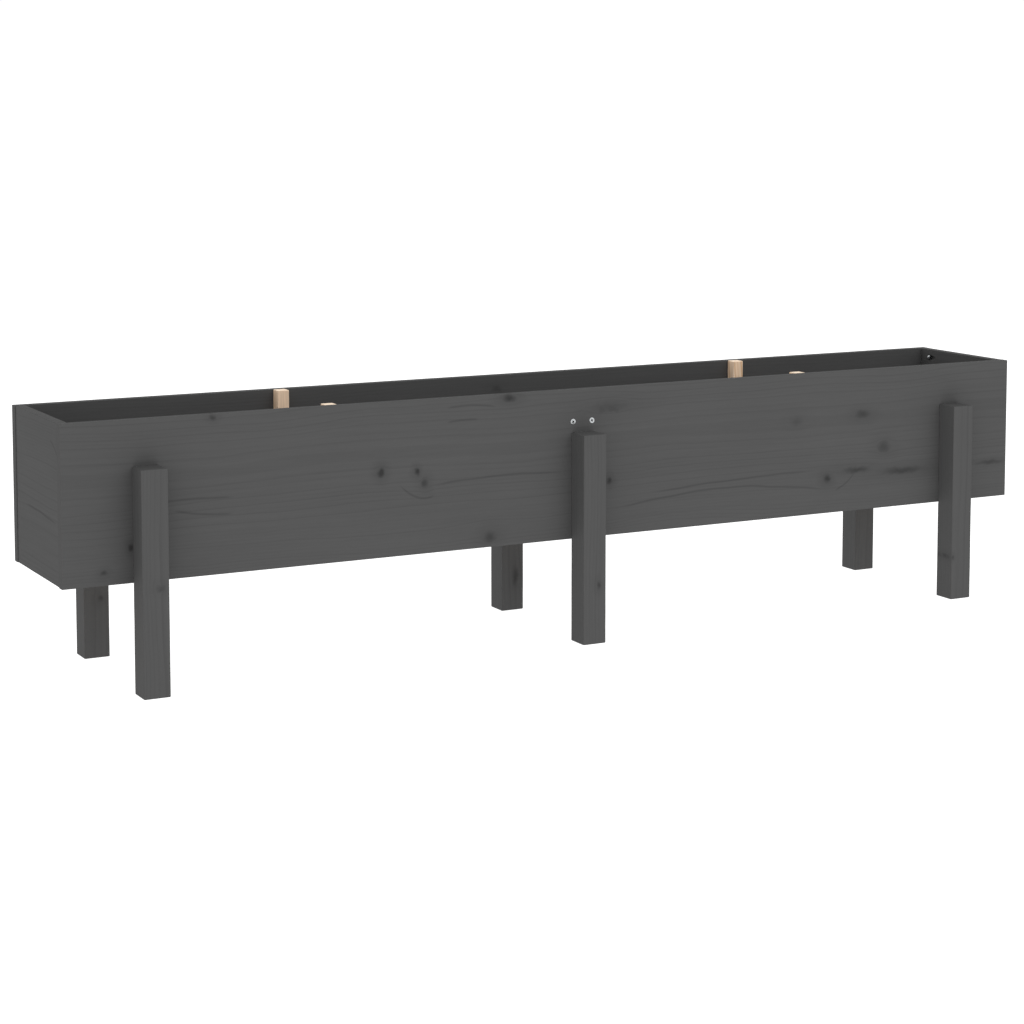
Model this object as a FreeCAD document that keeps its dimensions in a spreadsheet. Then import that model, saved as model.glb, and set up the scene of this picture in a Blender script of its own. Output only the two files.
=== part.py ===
import FreeCAD, Part
import Sketcher
import os

# Raised planter on legs: a long timber trough screwed to six square legs.
#
# Frame: origin on the ground under the middle of the trough, +X along the trough,
# +Y from the front long board to the rear one, +Z up. Every size is in millimetres.

# ---------------------------------------------------------------- driving dimensions

SIZES = (
    # alias, value, what it measures
    ("box_length", 1600, "long boards, end to end"),
    ("box_width", 224, "across the outer faces of the two long boards"),
    ("box_height", 224, "height of the long boards and the end panels"),
    ("ground_gap", 154, "ground to the underside of the box"),
    ("long_board_thickness", 14, "thickness of the front and rear boards"),
    ("end_panel_thickness", 14, "thickness of the two end panels"),
    ("end_recess", 1.5, "end panel set back from the ends of the long boards"),
    ("board_arris", 0.8, "chamfer on the edges of boards, battens and bearers"),
    ("leg_section", 38, "side of a square leg"),
    ("leg_drop", 64, "rim of the box to the top of a leg"),
    ("leg_end_margin", 100, "end of the box to the outer face of an outer leg"),
    ("leg_arris", 1.2, "chamfer on the edges of a leg"),
    ("batten_section", 18, "side of a square side batten"),
    ("batten_offset", 400, "middle of the box to the centre of a side batten"),
    ("tie_width", 60, "width of the cross tie, along the box"),
    ("tie_thickness", 18, "height of the cross tie"),
    ("tie_drop", 48, "rim of the box to the middle of the cross tie"),
    ("bearer_width", 38, "width of a floor bearer, along the box"),
    ("bearer_height", 18, "height of a floor bearer and of an end ledger"),
    ("ledger_width", 18, "width of an end ledger, along the box"),
    ("floor_thickness", 12, "thickness of a floor board"),
    ("floor_gap", 4, "drainage gap on each side of a floor board"),
    ("floor_end_gap", 1, "clearance between a floor board and an end panel"),
    ("shank_diameter", 4, "shank of every screw"),
    ("head_diameter", 8.5, "head of every screw"),
    ("head_rim", 0.5, "straight rim of a countersunk head"),
    ("pan_head_height", 2.4, "height of a pan head"),
    ("tip_length", 4, "pointed tip of a screw"),
    ("recess_span", 4.6, "cross recess, tip to tip"),
    ("recess_width", 1.1, "width of one slot of the cross recess"),
    ("recess_depth", 1.6, "depth of the cross recess"),
    ("leg_screw_length", 40, "screws through a long board into a leg or a bearer"),
    ("batten_screw_length", 25, "screws through a batten, a ledger or a floor board"),
    ("tie_screw_length", 50, "screws through a long board into the cross tie"),
    ("pocket_screw_length", 35, "screws through an end panel into a long board"),
    ("leg_screw_rise", 50, "underside of the box to the lowest leg screw"),
    ("leg_screw_drop", 25, "top of a leg to its highest screw"),
    ("leg_screw_stagger", 8, "leg screw to the centre line of its leg"),
    ("bearer_screw_offset", 9, "bearer screw to the centre line of its bearer"),
    ("tie_screw_offset", 16, "tie screw to the centre line of the cross tie"),
    ("batten_screw_margin", 42, "end of a side batten to the nearest batten screw"),
    ("ledger_screw_offset", 32, "ledger screw to the middle of its ledger"),
    ("pocket_margin", 14, "pocket screw to the rim or to the floor"),
    ("pocket_bore", 9.2, "diameter of a pocket"),
    ("pocket_seat", 23, "screw head's seat to the long board, along the screw"),
    ("pocket_exit", 9.5, "inner face of the end panel to the screw where it leaves the panel"),
    ("pocket_angle", 20, "pocket screw to the face of the end panel, in degrees"),
)

POCKET_CUTTER_LENGTH = 60

# Places that several pieces share, as spreadsheet expressions.
INNER_WIDTH = "(sizes.box_width - 2 * sizes.long_board_thickness)"
OUTER_FACE = "(sizes.box_width / 2)"
INNER_FACE = f"({INNER_WIDTH} / 2)"
PANEL_OUTER_FACE = "(sizes.box_length / 2 - sizes.end_recess)"
PANEL_INNER_FACE = f"({PANEL_OUTER_FACE} - sizes.end_panel_thickness)"
BOX_BASE = "sizes.ground_gap"
RIM = "(sizes.ground_gap + sizes.box_height)"
FLOOR_BASE = "(sizes.ground_gap + sizes.bearer_height)"
FLOOR_TOP = f"({FLOOR_BASE} + sizes.floor_thickness)"
LEG_TOP = f"({RIM} - sizes.leg_drop)"
LOWEST_LEG_SCREW = "(sizes.ground_gap + sizes.leg_screw_rise)"
HIGHEST_LEG_SCREW = f"({LEG_TOP} - sizes.leg_screw_drop)"
LOWEST_BATTEN_SCREW = f"({FLOOR_TOP} + sizes.batten_screw_margin)"
HIGHEST_BATTEN_SCREW = f"({RIM} - sizes.batten_screw_margin)"
TIE_CENTRE = f"({RIM} - sizes.tie_drop)"
BEARER_CENTRE = "(sizes.ground_gap + sizes.bearer_height / 2)"
OUTER_LEG = "(sizes.box_length / 2 - sizes.leg_end_margin - sizes.leg_section / 2)"
LEDGER_CENTRE = f"({PANEL_INNER_FACE} - sizes.ledger_width / 2)"
POCKET_HEAD_FACE = "(sizes.pocket_seat + sizes.pan_head_height)"
FLOOR_BOARD_WIDTH = f"(({INNER_WIDTH} - 4 * sizes.floor_gap) / 3)"
FLOOR_BOARD_PITCH = f"({FLOOR_BOARD_WIDTH} + sizes.floor_gap)"

SIDES = {"front": -1, "rear": 1}
ENDS = {"left": -1, "right": 1}
LEG_COLUMNS = {"left": -1, "middle": 0, "right": 1}
FLOOR_ROWS = {"front": -1, "middle": 0, "rear": 1}

doc = FreeCAD.newDocument("raised_planter")
pieces = []


def fill_spreadsheet():
    """Write every driving dimension to the sheet, one row each."""
    sheet = doc.addObject("Spreadsheet::Sheet", "sizes")
    for row, (alias, value, meaning) in enumerate(SIZES, start=1):
        sheet.set(f"A{row}", alias)
        sheet.set(f"B{row}", str(value))
        sheet.setAlias(f"B{row}", alias)
        sheet.set(f"C{row}", meaning)
    doc.recompute()


# ---------------------------------------------------------------- shared construction

def place(item, x, y, z):
    """Bind an object's position to three expressions."""
    item.setExpression("Placement.Base.x", x)
    item.setExpression("Placement.Base.y", y)
    item.setExpression("Placement.Base.z", z)


def origin_plane(body, role):
    """Return one of the body's own base planes."""
    for feature in body.Origin.OriginFeatures:
        if feature.Role == role:
            return feature
    raise ValueError(role)


def new_sketch(body, name, role):
    """Attach an empty sketch to one of the body's base planes."""
    sketch = body.newObject("Sketcher::SketchObject", name)
    sketch.AttachmentSupport = (origin_plane(body, role), [""])
    sketch.MapMode = "FlatFace"
    return sketch


def bind(sketch, kind, references, start_value, name, expression):
    """Add a named dimension to a sketch and drive it by an expression."""
    index = sketch.addConstraint(Sketcher.Constraint(kind, *references, start_value))
    sketch.renameConstraint(index, name)
    sketch.setExpression(f"Constraints.{name}", expression)


def add_loop(sketch, points):
    """Draw a closed outline of straight lines whose corners are joined."""
    corners = [FreeCAD.Vector(x, y, 0) for x, y in points]
    count = len(corners)
    for i in range(count):
        sketch.addGeometry(Part.LineSegment(corners[i], corners[(i + 1) % count]))
    for i in range(count):
        sketch.addConstraint(Sketcher.Constraint("Coincident", i, 2, (i + 1) % count, 1))


def centred_rectangle(sketch, across, along):
    """Draw a rectangle centred on the sketch's origin, sized by two expressions."""
    add_loop(sketch, ((-10, -5), (10, -5), (10, 5), (-10, 5)))
    for line, kind in ((0, "Horizontal"), (1, "Vertical"), (2, "Horizontal"), (3, "Vertical")):
        sketch.addConstraint(Sketcher.Constraint(kind, line))
    sketch.addConstraint(Sketcher.Constraint("Symmetric", 0, 1, 2, 1, -1, 1))
    bind(sketch, "DistanceX", (0, 1, 0, 2), 20, "across", across)
    bind(sketch, "DistanceY", (1, 1, 1, 2), 10, "along", along)


def timber(label, size_x, size_y, size_z, arris, x, y, z):
    """A planed piece with eased edges, centred on x and y and standing on z."""
    body = doc.addObject("PartDesign::Body", label)
    sketch = new_sketch(body, label + "_section", "XY_Plane")
    centred_rectangle(sketch, size_x, size_y)
    pad = body.newObject("PartDesign::Pad", label + "_pad")
    pad.Profile = sketch
    pad.setExpression("Length", size_z)
    easing = body.newObject("PartDesign::Chamfer", label + "_easing")
    easing.Base = (pad, [""])
    easing.UseAllEdges = True
    easing.setExpression("Size", arris)
    place(body, x, y, z)
    return body


def bored(label, blank, *cutters):
    """The finished piece: its blank, cut by exactly the screws that go through it."""
    piece = doc.addObject("Part::Cut", label)
    piece.Base = blank
    piece.Tool = compound(label + "_cutters", list(cutters))
    pieces.append(piece)


# ---------------------------------------------------------------- screws

def cross_recess():
    """The cross-shaped hollow in a screw's head, open at the origin and going down."""
    body = doc.addObject("PartDesign::Body", "cross_recess")
    slots = (("sizes.recess_span", "sizes.recess_width"), ("sizes.recess_width", "sizes.recess_span"))
    for number, (across, along) in enumerate(slots, start=1):
        outline = new_sketch(body, f"recess_outline_{number}", "XY_Plane")
        centred_rectangle(outline, across, along)
        slot = body.newObject("PartDesign::Pad", f"recess_slot_{number}")
        slot.Profile = outline
        slot.Reversed = True
        slot.setExpression("Length", "sizes.recess_depth")
    return body


def screw(label, length, rim, cone, recess):
    """A cross-recess screw along -Z with its head's face at the origin.

    The head has a straight rim and then a cone down to the shank; a pan head has no cone.
    Returns the screw, and the same shape without its recess, which is the hole it fills.
    """
    body = doc.addObject("PartDesign::Body", label + "_hole")
    profile = new_sketch(body, label + "_profile", "XZ_Plane")
    add_loop(profile, ((0, 0), (4, 0), (4, -1), (2, -3), (2, -20), (0, -24)))
    profile.addConstraint(Sketcher.Constraint("Coincident", 0, 1, -1, 1))
    profile.addConstraint(Sketcher.Constraint("Horizontal", 0))
    profile.addConstraint(Sketcher.Constraint("Vertical", 1))
    profile.addConstraint(Sketcher.Constraint("Vertical", 3))
    profile.addConstraint(Sketcher.Constraint("Vertical", 5))
    bind(profile, "DistanceX", (0, 1, 0, 2), 4, "head_radius", "sizes.head_diameter / 2")
    bind(profile, "DistanceX", (0, 1, 3, 1), 2, "shank_radius", "sizes.shank_diameter / 2")
    bind(profile, "DistanceY", (1, 2, 1, 1), 1, "rim", rim)
    bind(profile, "DistanceY", (3, 1, 1, 1), 3, "shank_start", f"{rim} + {cone}")
    bind(profile, "DistanceY", (4, 2, 4, 1), 4, "tip", "sizes.tip_length")
    bind(profile, "DistanceY", (5, 1, 5, 2), 24, "overall", length)
    turned = body.newObject("PartDesign::Revolution", label + "_turned")
    turned.Profile = profile
    turned.ReferenceAxis = (profile, ["V_Axis"])
    turned.Angle = 360
    finished = doc.addObject("Part::Cut", label)
    finished.Base = body
    finished.Tool = recess
    return finished, body


def link_pair(label, kind):
    """Repeat one kind of screw, and its hole, as a pair of links."""
    pair = []
    for source, name in zip(kind, (label, label + "_hole")):
        item = doc.addObject("App::Link", name)
        item.LinkedObject = source
        pair.append(item)
    return pair


def drive(label, kind, points_to, x, y, z):
    """Set one screw with its head's face at x, y, z and its tip pointing along points_to."""
    turn = FreeCAD.Rotation(FreeCAD.Vector(0, 0, -1), FreeCAD.Vector(*points_to))
    pair = link_pair(label, kind)
    for item in pair:
        item.Placement = FreeCAD.Placement(FreeCAD.Vector(), turn)
        place(item, x, y, z)
    return pair


def compound(label, items):
    """Keep several separate solids together as one object."""
    together = doc.addObject("Part::Compound", label)
    together.Links = items
    return together


def group(label, pairs):
    """Make one node of one kind of screw, and return the holes that they fill."""
    pieces.append(compound(label, [item for item, hole in pairs]))
    return compound(label + "_holes", [hole for item, hole in pairs])


def one_of_three(lowest, highest, step):
    """The height of one of three evenly spaced screws; step is 0, 1 or 2 from the lowest."""
    return f"{lowest} + {step} * ({highest} - {lowest}) / 2"


def make_leg_screws(kind):
    """Three staggered screws per leg, driven from inside the box."""
    pairs = []
    for side, sign in SIDES.items():
        for column, place_along in LEG_COLUMNS.items():
            for step in range(3):
                stagger = 1 if step == 1 else -1
                pairs.append(drive(
                    f"leg_screw_{side}_{column}_{step + 1}", kind, (0, sign, 0),
                    f"{place_along} * {OUTER_LEG} + {stagger} * sizes.leg_screw_stagger",
                    f"{sign} * {INNER_FACE}",
                    one_of_three(LOWEST_LEG_SCREW, HIGHEST_LEG_SCREW, step)))
    return group("leg_screws", pairs)


def make_bearer_screws(kind):
    """Two screws into each end of a floor bearer; the legs cover their heads."""
    pairs = []
    for side, sign in SIDES.items():
        for column, place_along in LEG_COLUMNS.items():
            for number, offset in enumerate((-1, 1), start=1):
                pairs.append(drive(
                    f"bearer_screw_{side}_{column}_{number}", kind, (0, -sign, 0),
                    f"{place_along} * {OUTER_LEG} + {offset} * sizes.bearer_screw_offset",
                    f"{sign} * {OUTER_FACE}",
                    BEARER_CENTRE))
    return group("bearer_screws", pairs)


def make_tie_screws(kind):
    """Two screws into each end of the cross tie, side by side above the middle leg."""
    pairs = []
    for side, sign in SIDES.items():
        for number, offset in enumerate((-1, 1), start=1):
            pairs.append(drive(
                f"tie_screw_{side}_{number}", kind, (0, -sign, 0),
                f"{offset} * sizes.tie_screw_offset",
                f"{sign} * {OUTER_FACE}",
                TIE_CENTRE))
    return group("tie_screws", pairs)


def make_batten_screws(kind):
    """Three screws through each side batten into its long board."""
    pairs = []
    for side, sign in SIDES.items():
        for end, along in ENDS.items():
            for step in range(3):
                pairs.append(drive(
                    f"batten_screw_{side}_{end}_{step + 1}", kind, (0, sign, 0),
                    f"{along} * sizes.batten_offset",
                    f"{sign} * ({INNER_FACE} - sizes.batten_section)",
                    one_of_three(LOWEST_BATTEN_SCREW, HIGHEST_BATTEN_SCREW, step)))
    return group("batten_screws", pairs)


def make_ledger_screws(kind):
    """Two screws through each end ledger into its end panel."""
    pairs = []
    for end, along in ENDS.items():
        for number, across in enumerate((-1, 1), start=1):
            pairs.append(drive(
                f"ledger_screw_{end}_{number}", kind, (along, 0, 0),
                f"{along} * ({PANEL_INNER_FACE} - sizes.ledger_width)",
                f"{across} * sizes.ledger_screw_offset",
                BEARER_CENTRE))
    return group("ledger_screws", pairs)


def make_floor_screws(kind):
    """One screw where each floor board crosses a bearer or a ledger."""
    supports = [f"{place_along} * {OUTER_LEG}" for place_along in LEG_COLUMNS.values()]
    supports += [f"{along} * {LEDGER_CENTRE}" for along in ENDS.values()]
    pairs = []
    for row, across in FLOOR_ROWS.items():
        for number, x in enumerate(supports, start=1):
            pairs.append(drive(
                f"floor_screw_{row}_{number}", kind, (0, 0, -1),
                x, f"{across} * {FLOOR_BOARD_PITCH}", FLOOR_TOP))
    return group("floor_screws", pairs)


def lay_on_pocket_line(item, along, sign, z, distance):
    """Put an item on a pocket screw's line, its -Z towards the screw's tip.

    The line is level. It crosses from the end panel into the long board at pocket_exit
    from the panel's inner face, and the item lies the given distance back from there.
    """
    angle = "sizes.pocket_angle * 1 deg"
    step_x = f"{along} * sin({angle})"
    step_y = f"{sign} * cos({angle})"
    x = f"{along} * ({PANEL_INNER_FACE} + sizes.pocket_exit) - ({distance}) * {step_x}"
    y = f"{sign} * {INNER_FACE} - ({distance}) * {step_y}"
    turn = f"rotation(vector({step_y}; -1 * {step_x}; 0); 90)"
    item.setExpression("Placement", f"placement(vector({x}; {y}; {z}); {turn})")


def make_pocket_screws(kind):
    """Slanting screws that hold the end panels to the long boards, and their pockets."""
    heights = {
        "upper": f"{RIM} - sizes.pocket_margin",
        "lower": f"{FLOOR_TOP} + sizes.pocket_margin",
    }
    pairs = []
    bores = []
    for side, sign in SIDES.items():
        for end, along in ENDS.items():
            for level, z in heights.items():
                name = f"{side}_{end}_{level}"
                pair = link_pair(f"pocket_screw_{name}", kind)
                for item in pair:
                    lay_on_pocket_line(item, along, sign, z, POCKET_HEAD_FACE)
                pairs.append(pair)
                bore = doc.addObject("Part::Cylinder", f"pocket_{name}")
                bore.setExpression("Radius", "sizes.pocket_bore / 2")
                bore.Height = POCKET_CUTTER_LENGTH
                lay_on_pocket_line(bore, along, sign, z, "sizes.pocket_seat")
                bores.append(bore)
    return group("pocket_screws", pairs), compound("pockets", bores)


# ---------------------------------------------------------------- timber

def make_long_boards(*cutters):
    """Front and rear boards, full length; the end panels stand between them."""
    for side, sign in SIDES.items():
        blank = timber(
            f"long_board_{side}_blank",
            "sizes.box_length", "sizes.long_board_thickness", "sizes.box_height",
            "sizes.board_arris",
            "0", f"{sign} * ({OUTER_FACE} - sizes.long_board_thickness / 2)", BOX_BASE)
        bored(f"long_board_{side}", blank, *cutters)


def make_end_panels(*cutters):
    """The two short sides, set back a little from the ends of the long boards."""
    for end, along in ENDS.items():
        blank = timber(
            f"end_panel_{end}_blank",
            "sizes.end_panel_thickness", INNER_WIDTH, "sizes.box_height",
            "sizes.board_arris",
            f"{along} * ({PANEL_OUTER_FACE} - sizes.end_panel_thickness / 2)", "0", BOX_BASE)
        bored(f"end_panel_{end}", blank, *cutters)


def make_legs(*cutters):
    """Three square legs against the outside of each long board."""
    for side, sign in SIDES.items():
        for column, place_along in LEG_COLUMNS.items():
            blank = timber(
                f"leg_{side}_{column}_blank",
                "sizes.leg_section", "sizes.leg_section", LEG_TOP,
                "sizes.leg_arris",
                f"{place_along} * {OUTER_LEG}",
                f"{sign} * ({OUTER_FACE} + sizes.leg_section / 2)", "0")
            bored(f"leg_{side}_{column}", blank, *cutters)


def make_side_battens(*cutters):
    """Square battens inside the long boards, from the floor up to the rim."""
    for side, sign in SIDES.items():
        for end, along in ENDS.items():
            blank = timber(
                f"side_batten_{side}_{end}_blank",
                "sizes.batten_section", "sizes.batten_section", f"{RIM} - {FLOOR_TOP}",
                "sizes.board_arris",
                f"{along} * sizes.batten_offset",
                f"{sign} * ({INNER_FACE} - sizes.batten_section / 2)", FLOOR_TOP)
            bored(f"side_batten_{side}_{end}", blank, *cutters)


def make_cross_tie(*cutters):
    """The flat tie that keeps the long boards from bowing apart in the middle."""
    blank = timber(
        "cross_tie_blank",
        "sizes.tie_width", INNER_WIDTH, "sizes.tie_thickness", "sizes.board_arris",
        "0", "0", f"{TIE_CENTRE} - sizes.tie_thickness / 2")
    bored("cross_tie", blank, *cutters)


def make_floor_bearers(*cutters):
    """Cross bearers under the floor, one behind each pair of legs."""
    for column, place_along in LEG_COLUMNS.items():
        blank = timber(
            f"floor_bearer_{column}_blank",
            "sizes.bearer_width", INNER_WIDTH, "sizes.bearer_height", "sizes.board_arris",
            f"{place_along} * {OUTER_LEG}", "0", BOX_BASE)
        bored(f"floor_bearer_{column}", blank, *cutters)


def make_end_ledgers(*cutters):
    """Ledgers on the end panels that carry the ends of the floor boards."""
    for end, along in ENDS.items():
        blank = timber(
            f"end_ledger_{end}_blank",
            "sizes.ledger_width", INNER_WIDTH, "sizes.bearer_height", "sizes.board_arris",
            f"{along} * {LEDGER_CENTRE}", "0", BOX_BASE)
        bored(f"end_ledger_{end}", blank, *cutters)


def make_floor_boards(*cutters):
    """Three boards along the box, with gaps between them for water to drain."""
    for row, across in FLOOR_ROWS.items():
        blank = timber(
            f"floor_board_{row}_blank",
            f"2 * ({PANEL_INNER_FACE} - sizes.floor_end_gap)", FLOOR_BOARD_WIDTH,
            "sizes.floor_thickness", "sizes.board_arris",
            "0", f"{across} * {FLOOR_BOARD_PITCH}", FLOOR_BASE)
        bored(f"floor_board_{row}", blank, *cutters)


# ---------------------------------------------------------------- assembly and output

def build():
    """Make the screws first, because they cut the holes in the timber."""
    fill_spreadsheet()
    cone = "(sizes.head_diameter - sizes.shank_diameter) / 2"
    recess = cross_recess()
    long_kind = screw("long_screw", "sizes.leg_screw_length", "sizes.head_rim", cone, recess)
    short_kind = screw("short_screw", "sizes.batten_screw_length", "sizes.head_rim", cone, recess)
    tie_kind = screw("tie_screw", "sizes.tie_screw_length", "sizes.head_rim", cone, recess)
    pan_kind = screw("pan_screw", "sizes.pocket_screw_length", "sizes.pan_head_height", "0", recess)
    leg_screws = make_leg_screws(long_kind)
    bearer_screws = make_bearer_screws(long_kind)
    tie_screws = make_tie_screws(tie_kind)
    batten_screws = make_batten_screws(short_kind)
    ledger_screws = make_ledger_screws(short_kind)
    floor_screws = make_floor_screws(short_kind)
    pocket_screws, pockets = make_pocket_screws(pan_kind)
    make_long_boards(leg_screws, bearer_screws, tie_screws, batten_screws, pocket_screws)
    make_end_panels(pocket_screws, pockets, ledger_screws)
    make_legs(leg_screws)
    make_side_battens(batten_screws)
    make_cross_tie(tie_screws)
    make_floor_bearers(bearer_screws, floor_screws)
    make_end_ledgers(ledger_screws, floor_screws)
    make_floor_boards(floor_screws)
    doc.recompute()


def check():
    """Stop if anything in the document failed, or a piece has no sound shape."""
    for item in doc.Objects:
        if "Invalid" in item.State or "Error" in item.State:
            raise RuntimeError(f"{item.Label} failed: {item.State}")
    for piece in pieces:
        if piece.Shape.isNull() or not piece.Shape.isValid():
            raise RuntimeError(f"{piece.Label} has no valid shape")


def export():
    """Write one STEP file for each piece, named after it."""
    os.makedirs("parts", exist_ok=True)
    for piece in pieces:
        piece.Shape.exportStep(f"parts/{piece.Label}.step")
        print(piece.Label, len(piece.Shape.Solids), round(piece.Shape.Volume / 1000, 1), "cm3")


build()
check()
export()
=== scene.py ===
import math
import random

import bmesh
import bpy
from mathutils import Matrix, Vector


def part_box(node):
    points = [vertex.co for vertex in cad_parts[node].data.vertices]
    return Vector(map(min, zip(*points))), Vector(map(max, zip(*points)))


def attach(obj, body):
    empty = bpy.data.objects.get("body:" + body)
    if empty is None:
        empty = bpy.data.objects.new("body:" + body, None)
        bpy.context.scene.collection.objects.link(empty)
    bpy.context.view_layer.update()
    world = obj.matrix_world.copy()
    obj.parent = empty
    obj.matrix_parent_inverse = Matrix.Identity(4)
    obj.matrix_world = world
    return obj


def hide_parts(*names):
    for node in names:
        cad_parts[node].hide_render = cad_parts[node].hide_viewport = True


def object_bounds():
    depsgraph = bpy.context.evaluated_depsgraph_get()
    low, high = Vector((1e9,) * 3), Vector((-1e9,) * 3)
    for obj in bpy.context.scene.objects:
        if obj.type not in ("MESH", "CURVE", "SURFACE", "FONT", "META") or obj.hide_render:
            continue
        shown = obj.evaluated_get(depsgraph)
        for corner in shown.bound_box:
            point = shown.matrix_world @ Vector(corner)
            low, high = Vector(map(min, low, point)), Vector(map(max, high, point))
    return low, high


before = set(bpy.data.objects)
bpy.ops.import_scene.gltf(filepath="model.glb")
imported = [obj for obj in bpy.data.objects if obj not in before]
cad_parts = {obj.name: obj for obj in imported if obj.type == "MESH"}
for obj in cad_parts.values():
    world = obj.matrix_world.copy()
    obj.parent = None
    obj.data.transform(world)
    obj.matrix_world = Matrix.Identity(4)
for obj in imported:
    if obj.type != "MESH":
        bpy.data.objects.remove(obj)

# Raised planter on legs: a dark-stained pine trough, natural pine inside, zinc-plated screws.
# Everything is in metres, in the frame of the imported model.

cad_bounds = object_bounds()
MM = 0.001

# ---------------------------------------------------------------- pieces and their sizes

SIDES = ("front", "rear")
COLUMNS = ("left", "middle", "right")
ENDS = ("left", "right")

# Each order gives the axes that run along the grain, across the board and through it.
LONG_BOARD = "XZY"
END_PANEL = "YZX"
UPRIGHT = "ZXY"
CROSS_PIECE = "YXZ"
FLOOR_BOARD = "XYZ"

# The arris is the eased edge of a piece. Its outline is drawn again at every station.
BOARD_ARRIS = 0.8 * MM
LEG_ARRIS = 1.2 * MM
ARRIS_STEPS = 3
STATION_PITCH = 25 * MM
DENT_HALF_LENGTH = 3 * MM
DENT_PITCH = 400 * MM
DENT_SHOULDER = 0.9

# Screws and their holes. The core is the bottom of the thread. Cutters start a little above the
# face that they open.
HEAD_RADIUS = 4.25 * MM
HEAD_RIM = 0.5 * MM
PAN_HEAD_HEIGHT = 2.4 * MM
SHANK_RADIUS = 2.0 * MM
CORE_RADIUS = 1.45 * MM
THREAD_PITCH = 2.0 * MM
RECESS_SPAN = 4.8 * MM
RECESS_DEPTH = 2.3 * MM
ABOVE_HEAD = 0.3 * MM
ABOVE_FACE = 1 * MM
BELOW_COUNTERSINK = 2 * MM
HEAD_CLEARANCE = 0.12 * MM
POCKET_RADIUS = 4.6 * MM
POCKET_LENGTH = 60 * MM

MERGE_DISTANCE = 0.001 * MM

# Marks with a fixed place, by piece, measured in mm from the middle of its face. The knots of
# every other piece are scattered.
# A knot: along the grain, across it, radius, stretch along the grain, darkness.
KNOTS = {
    "long_board_front": (
        (-742, -95, 4.0, 1.1, 0.6), (-703, -63, 5.0, 0.8, 0.9), (-583, 107, 3.5, 1.4, 0.6),
        (-330, 12, 6.5, 0.8, 0.9), (-273, 8, 5.0, 0.8, 0.9), (-261, -9, 7.0, 0.8, 0.6),
        (-156, -97, 8.0, 1.2, 0.55), (-123, 106, 5.5, 1.8, 0.75), (46, -29, 5.0, 0.9, 0.8),
        (45, 82, 9.0, 3.5, 0.3), (383, 38, 7.0, 1.6, 0.25), (443, -57, 6.5, 1.0, 0.75),
        (511, 41, 6.0, 2.0, 0.55), (552, -14, 9.0, 1.2, 0.45), (500, -47, 5.0, 4.5, 0.6),
        (590, -55, 5.5, 7.0, 0.6), (768, -54, 3.0, 8.0, 0.5)),
    "leg_rear_middle": ((-104, 5, 5.0, 3.0, 0.6),),
    "leg_front_middle": ((-69, 6, 3.0, 1.8, 0.6),),
    "leg_front_right": ((-88, -17, 2.2, 1.8, 0.5),),
    "end_panel_left": (),
}
# A dark growth ring: where it starts, along and across, where it ends, and how far it bows.
RINGS = {
    "long_board_front": (
        (40, -76, 457, -78, 20), (457, -78, 500, -48, -4), (110, -54, 430, -42, 3),
        (-255, -14, -30, -11, 5), (-302, -8, -243, -26, -12), (-228, 97, -140, 94, 3),
        (-226, 76, -172, 78, 1), (-665, -4, -550, -6, 1), (-645, -18, -552, -28, -2),
        (730, -55, 800, -54, 0)),
    "end_panel_left": ((-104, 60, -62, 86, 3), (-90, -27, 58, -21, 2)),
}


# ---------------------------------------------------------------- small helpers

def linear(hex_colour):
    """Turn an sRGB hex colour into linear RGBA."""
    channels = []
    for start in (1, 3, 5):
        value = int(hex_colour[start:start + 2], 16) / 255
        channels.append(value / 12.92 if value <= 0.04045 else ((value + 0.055) / 1.055) ** 2.4)
    return (*channels, 1.0)


def add(tree, kind, inputs=None, **settings):
    """Add one node: settings are its properties, inputs are values or other nodes' outputs."""
    node = tree.nodes.new(kind)
    for name, value in settings.items():
        setattr(node, name, value)
    for key, value in (inputs or {}).items():
        if isinstance(value, bpy.types.NodeSocket):
            tree.links.new(value, node.inputs[key])
        else:
            node.inputs[key].default_value = value
    return node


def new_object(name, mesh):
    """Link a new object that holds the mesh."""
    item = bpy.data.objects.new(name, mesh)
    bpy.context.scene.collection.objects.link(item)
    return item


def mesh_of(name, geometry):
    """Turn a bmesh into a mesh, with its doubles merged and its faces pointing outwards."""
    bmesh.ops.remove_doubles(geometry, verts=geometry.verts, dist=MERGE_DISTANCE)
    bmesh.ops.recalc_face_normals(geometry, faces=geometry.faces)
    mesh = bpy.data.meshes.new(name)
    geometry.to_mesh(mesh)
    geometry.free()
    return mesh


def apply_modifiers(item):
    """Replace an object's mesh by what its modifiers make of it."""
    graph = bpy.context.evaluated_depsgraph_get()
    made = bpy.data.meshes.new_from_object(item.evaluated_get(graph))
    item.modifiers.clear()
    item.data = made


def cut(item, cutter):
    """Cut one object by another, which is then removed."""
    boolean = item.modifiers.new("cut", "BOOLEAN")
    boolean.operation = "DIFFERENCE"
    boolean.solver = "EXACT"
    boolean.object = cutter
    apply_modifiers(item)
    bpy.data.objects.remove(cutter)


def ring_between(geometry, first, second):
    """Join two rings of vertices by a band of quads."""
    count = len(first)
    for i in range(count):
        j = (i + 1) % count
        geometry.faces.new((first[i], first[j], second[j], second[i]))


# ---------------------------------------------------------------- screws

def screw_islands(node):
    """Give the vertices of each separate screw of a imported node."""
    geometry = bmesh.new()
    geometry.from_mesh(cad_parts[node].data)
    bmesh.ops.remove_doubles(geometry, verts=geometry.verts, dist=MERGE_DISTANCE)
    waiting = set(geometry.verts)
    islands = []
    while waiting:
        edge_of_search = [waiting.pop()]
        island = []
        while edge_of_search:
            vertex = edge_of_search.pop()
            island.append(vertex.co.copy())
            for edge in vertex.link_edges:
                other = edge.other_vert(vertex)
                if other in waiting:
                    waiting.remove(other)
                    edge_of_search.append(other)
        islands.append(island)
    geometry.free()
    return islands


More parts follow.
